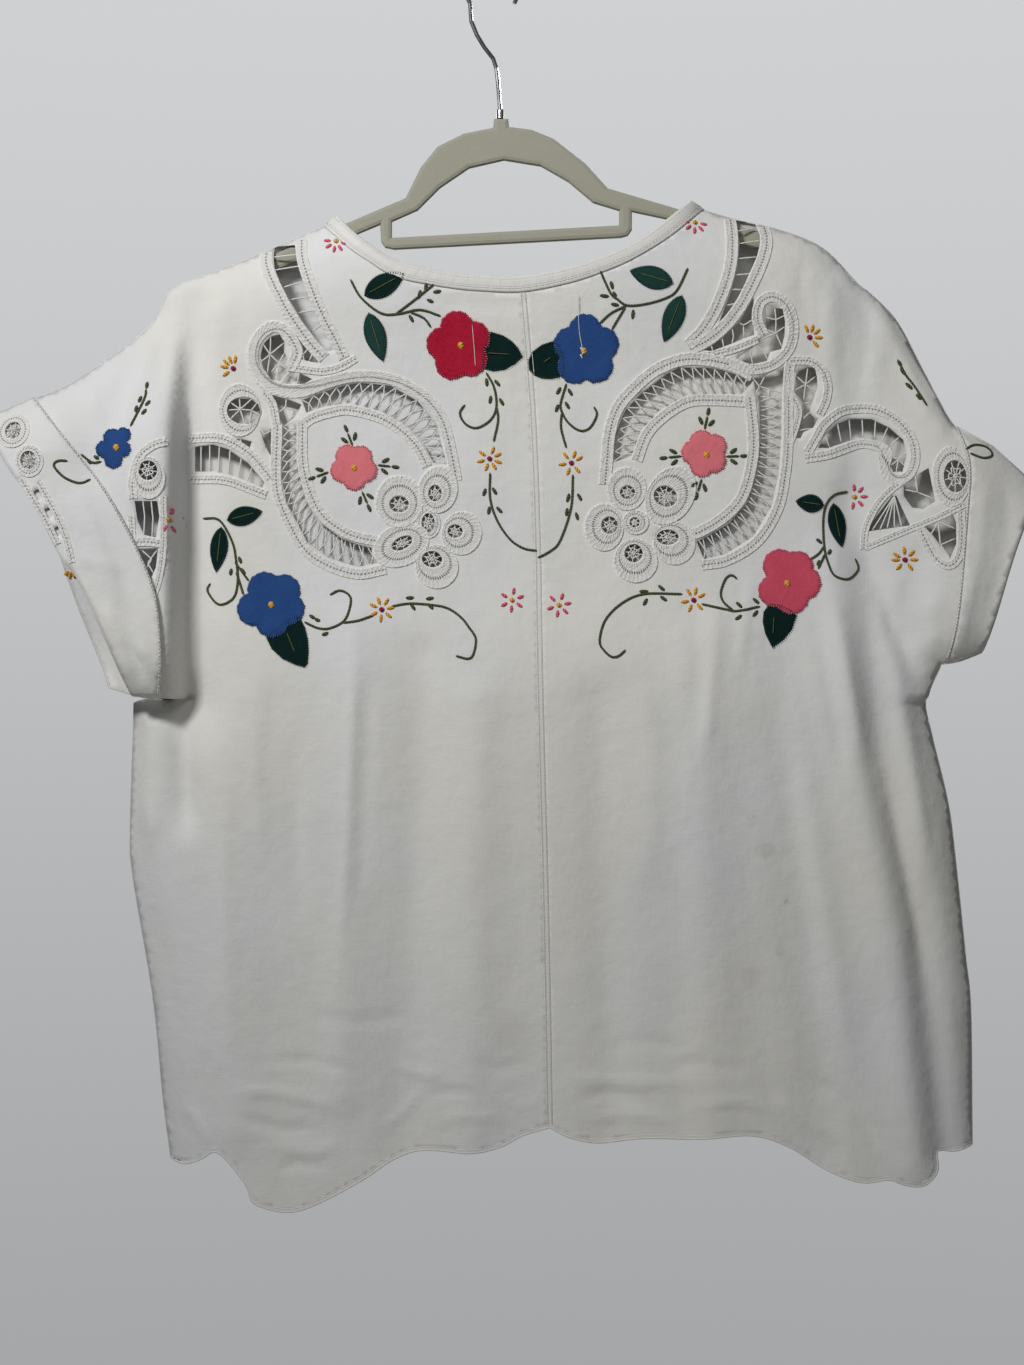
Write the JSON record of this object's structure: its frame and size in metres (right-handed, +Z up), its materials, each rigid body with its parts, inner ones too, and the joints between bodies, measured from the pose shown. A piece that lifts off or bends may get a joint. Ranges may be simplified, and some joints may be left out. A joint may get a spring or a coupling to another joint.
{
  "type": "lace blouse on hanger",
  "caption": "Short-sleeved white cotton blouse with tape lace and applique flowers, turned-up cuffs and scalloped hem, hung on a slim flocked hanger with a wire hook.",
  "frame": {"origin": "inside top of the hook's bend, where a rail carries the hanger", "axes": "+Z up, the garment's front faces -Y, the front view's right is +X"},
  "size_m": [0.7285, 0.0804, 0.875],
  "materials": {
    "white_cotton": "matt plain weave",
    "red_applique": "matt cotton",
    "rose_applique": "matt cotton",
    "pink_applique": "matt cotton",
    "blue_applique": "matt cotton",
    "green_applique": "matt cotton",
    "sage_flock": "flocked",
    "chrome_wire": "polished"
  },
  "bodies": {
    "root": {"front_left": "white_cotton", "front_right": "white_cotton", "back": "white_cotton", "cuff_left_front": "white_cotton", "cuff_left_back": "white_cotton", "cuff_right_front": "white_cotton", "cuff_right_back": "white_cotton", "neck_binding": "white_cotton", "flower_red": "red_applique", "flower_rose_lower": "rose_applique", "flower_pink_left": "pink_applique", "flower_pink_right": "pink_applique", "flower_blue_upper": "blue_applique", "flower_blue_lower": "blue_applique", "flower_blue_sleeve": "blue_applique", "leaf_red_side": "green_applique", "leaf_neck_left": "green_applique", "leaf_hanging_left": "green_applique", "leaf_side_left": "green_applique", "leaf_low_left": "green_applique", "leaf_blue_foot": "green_applique", "leaf_blue_side": "green_applique", "leaf_neck_right": "green_applique", "leaf_hanging_right": "green_applique", "leaf_side_right": "green_applique", "leaf_low_right": "green_applique", "leaf_rose_foot": "green_applique", "hanger": "sage_flock", "hook": "chrome_wire", "hook_ferrule": "chrome_wire"}
  },
  "joints": []
}
